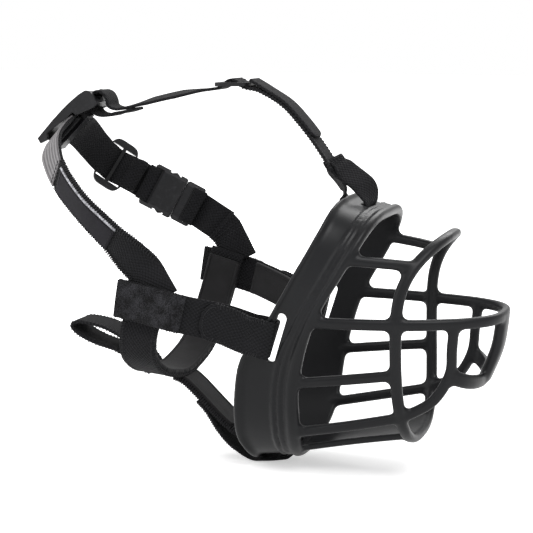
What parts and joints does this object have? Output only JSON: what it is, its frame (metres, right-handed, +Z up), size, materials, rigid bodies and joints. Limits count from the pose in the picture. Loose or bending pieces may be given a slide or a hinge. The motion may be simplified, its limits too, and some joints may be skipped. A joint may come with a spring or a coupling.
{
  "type": "basket muzzle",
  "caption": "Flexible basket muzzle for a dog, with open bars round the nose and an adjustable webbing harness with a side-release buckle.",
  "frame": {"origin": "middle of the basket's rear opening, in the middle plane", "axes": "+X towards the nose, +Z up, Y across with the buckle on the +Y side"},
  "size_m": [0.2601, 0.1312, 0.205],
  "materials": {
    "basket_rubber": "satin moulded",
    "webbing": "woven",
    "lining": "matt padded",
    "loop_pile": "looped pile",
    "reflective_web": "ribbed reflective",
    "reflective_cord": "reflective",
    "patch": "matt woven",
    "buckle_plastic": "satin moulded"
  },
  "bodies": {
    "muzzle": {"basket": "basket_rubber", "buckle_female": "buckle_plastic", "buckle_web": "webbing", "cheek_lining_left": "lining", "cheek_lining_right": "lining", "cheek_strap_left": "webbing", "cheek_strap_right": "webbing", "chin_lining": "lining", "chin_strap": "webbing", "crown_loop": "webbing", "crown_strap": "webbing", "crown_tail": "webbing", "junction_fold": "webbing", "label_patch": "patch", "loop_pile_left": "loop_pile", "loop_pile_right": "loop_pile", "neck_keeper": "buckle_plastic", "neck_strap_left": "webbing", "neck_strap_return": "webbing", "neck_strap_right": "webbing", "reflective_piping": "reflective_cord", "reflective_webbing": "reflective_web", "throat_lining": "lining", "throat_strap": "webbing"},
    "tab_left": {"cheek_tab_left": "webbing"},
    "tab_right": {"cheek_tab_right": "webbing"},
    "collar_ring": {"collar_loop": "webbing"},
    "neck_slider": {"neck_glide": "buckle_plastic"},
    "crown_slider": {"crown_glide": "buckle_plastic"},
    "plug": {"buckle_male": "buckle_plastic"},
    "prong_upper": {"buckle_prong_upper": "buckle_plastic"},
    "prong_lower": {"buckle_prong_lower": "buckle_plastic"}
  },
  "joints": [
    {"name": "tab_right_peel", "type": "hinge", "parent": "muzzle", "child": "tab_right", "pos_m": [-0.00706, -0.0485, -0.00567], "axis": [0.29, 0, 0.957], "range_deg": [0, 110]},
    {"name": "tab_left_peel", "type": "hinge", "parent": "muzzle", "child": "tab_left", "pos_m": [-0.00706, 0.0485, -0.00567], "axis": [-0.29, 0, -0.957], "range_deg": [0, 110]},
    {"name": "collar_loop_flex", "type": "hinge", "parent": "muzzle", "child": "collar_ring", "pos_m": [-0.0905, 0, -0.0355], "axis": [0, 1, 0], "range_deg": [-25, 15], "stiffness_Nm_per_rad": 0.06},
    {"name": "neck_glide_slide", "type": "slide", "parent": "muzzle", "child": "neck_slider", "axis": [0.701, 0.4406, -0.5608], "range_m": [-0.008, 0.006], "deforming": ["neck_strap_left", "neck_strap_return"]},
    {"name": "crown_glide_slide", "type": "slide", "parent": "muzzle", "child": "crown_slider", "axis": [0.9998, 0, 0.02], "range_m": [-0.01, 0.01], "deforming": ["crown_strap", "crown_tail"]},
    {"name": "buckle_release", "type": "slide", "parent": "muzzle", "child": "plug", "axis": [0.8679, 0.1995, -0.4549], "range_m": [0, 0.012], "deforming": ["buckle_prong_upper", "buckle_prong_lower", "buckle_web", "junction_fold"]},
    {"name": "prong_upper_press", "type": "hinge", "parent": "plug", "child": "prong_upper", "pos_m": [-0.09629, 0.06004, 0.05877], "axis": [-0.3081, 0.9346, -0.1778], "range_deg": [-22, 0], "stiffness_Nm_per_rad": 0.02},
    {"name": "prong_lower_press", "type": "hinge", "parent": "plug", "child": "prong_lower", "pos_m": [-0.10303, 0.05495, 0.04368], "axis": [-0.3081, 0.9346, -0.1778], "range_deg": [0, 22], "stiffness_Nm_per_rad": 0.02}
  ],
  "couplings": [
    {"joint": "prong_lower_press", "follows": "prong_upper_press", "ratio": -1}
  ]
}
